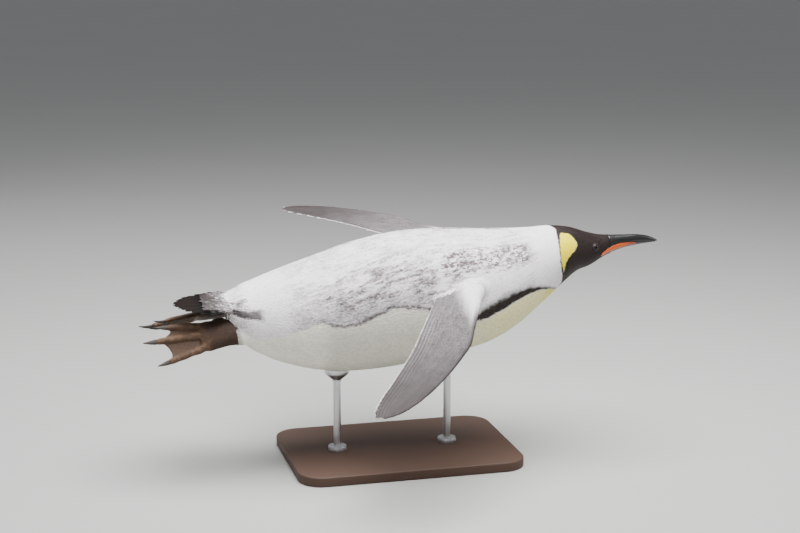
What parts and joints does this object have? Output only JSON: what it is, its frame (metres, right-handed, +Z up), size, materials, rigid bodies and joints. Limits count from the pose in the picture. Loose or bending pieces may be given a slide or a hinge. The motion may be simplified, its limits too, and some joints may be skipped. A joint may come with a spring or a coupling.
{
  "type": "king penguin model",
  "caption": "Life-size king penguin in its swimming stretch, flippers spread, held level by a plain display stand.",
  "frame": {"origin": "middle of the stand base's flat underside, on the floor", "axes": "+X towards the bill, +Y to the bird's left, +Z up from the floor"},
  "size_m": [0.9737, 0.7036, 0.4249],
  "materials": {
    "black_feather": "short dense feathers, slightly glossy",
    "neck_feather": "short dense silver grey feathers",
    "silver_feather": "short dense silver grey feathers above, white below",
    "bill_horn": "smooth black horn",
    "bill_orange": "smooth orange horn, pink lilac at the tip",
    "eye_gloss": "wet gloss",
    "foot_leather": "scaly leathery skin",
    "claw_horn": "worn horn",
    "walnut": "satin lacquered dark wood",
    "steel": "satin brushed"
  },
  "bodies": {
    "root": {"bill_lower": "bill_horn", "bill_plate_left": "bill_orange", "bill_plate_right": "bill_orange", "bill_upper": "bill_horn", "claw_inner_left": "claw_horn", "claw_inner_right": "claw_horn", "claw_middle_left": "claw_horn", "claw_middle_right": "claw_horn", "claw_outer_left": "claw_horn", "claw_outer_right": "claw_horn", "eye_left": "eye_gloss", "eye_right": "eye_gloss", "foot_left": "foot_leather", "foot_right": "foot_leather", "head": "black_feather", "leg_left": "silver_feather", "leg_right": "silver_feather", "neck": "neck_feather", "stand_base": "walnut", "stand_collar_front": "steel", "stand_collar_rear": "steel", "stand_cup_front": "steel", "stand_cup_rear": "steel", "stand_rod_front": "steel", "stand_rod_rear": "steel", "tail": "black_feather", "trunk": "silver_feather", "wing_left": "silver_feather", "wing_right": "silver_feather"}
  },
  "joints": []
}
